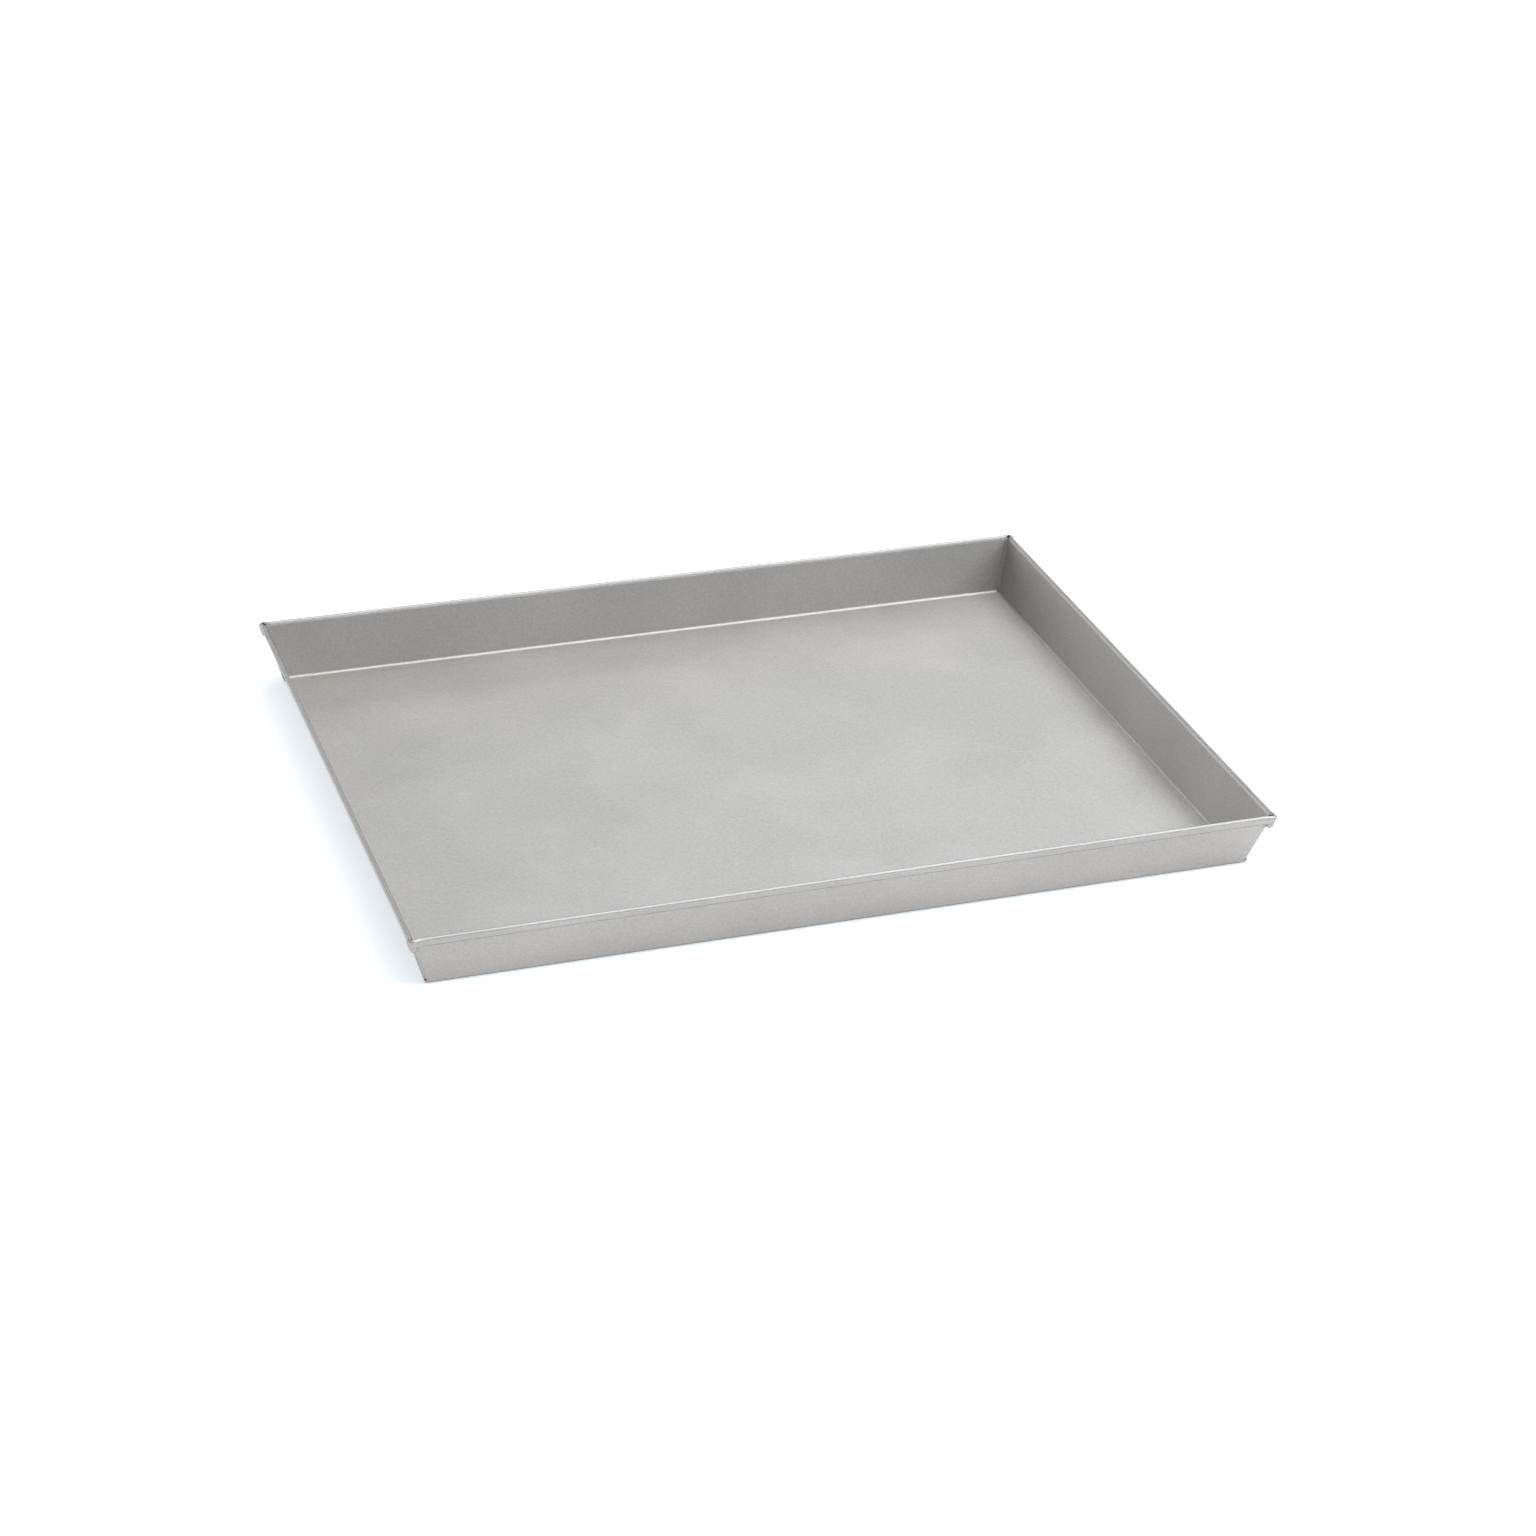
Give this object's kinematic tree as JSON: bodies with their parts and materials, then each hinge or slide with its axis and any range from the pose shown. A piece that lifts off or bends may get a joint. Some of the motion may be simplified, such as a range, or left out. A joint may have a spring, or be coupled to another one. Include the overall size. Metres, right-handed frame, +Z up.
{
  "type": "cookie sheet",
  "caption": "Shallow rectangular cookie sheet of folded coated steel: flat floor, walls leaning outward, pinched corners with folded ears and a flattened hem round the rim.",
  "frame": {"origin": "middle of the flat underside, on the surface that the sheet stands on", "axes": "+X along the long side, +Y towards the back long wall, +Z up out of the tray"},
  "size_m": [0.4214, 0.3434, 0.0295],
  "materials": {
    "coated_steel": "matte silver-grey coating with a fine grain"
  },
  "bodies": {
    "root": {"floor_panel": "coated_steel", "back_bend": "coated_steel", "front_bend": "coated_steel", "left_bend": "coated_steel", "right_bend": "coated_steel", "back_wall": "coated_steel", "front_wall": "coated_steel", "left_wall": "coated_steel", "right_wall": "coated_steel", "back_hem": "coated_steel", "front_hem": "coated_steel", "left_hem": "coated_steel", "right_hem": "coated_steel", "back_left_base_corner": "coated_steel", "back_right_base_corner": "coated_steel", "front_left_base_corner": "coated_steel", "front_right_base_corner": "coated_steel", "back_left_inner_ear": "coated_steel", "back_right_inner_ear": "coated_steel", "front_left_inner_ear": "coated_steel", "front_right_inner_ear": "coated_steel", "back_left_outer_ear": "coated_steel", "back_right_outer_ear": "coated_steel", "front_left_outer_ear": "coated_steel", "front_right_outer_ear": "coated_steel", "back_left_corner_turn": "coated_steel", "back_right_corner_turn": "coated_steel", "front_left_corner_turn": "coated_steel", "front_right_corner_turn": "coated_steel", "back_left_hem_corner": "coated_steel", "back_right_hem_corner": "coated_steel", "front_left_hem_corner": "coated_steel", "front_right_hem_corner": "coated_steel"}
  },
  "joints": []
}
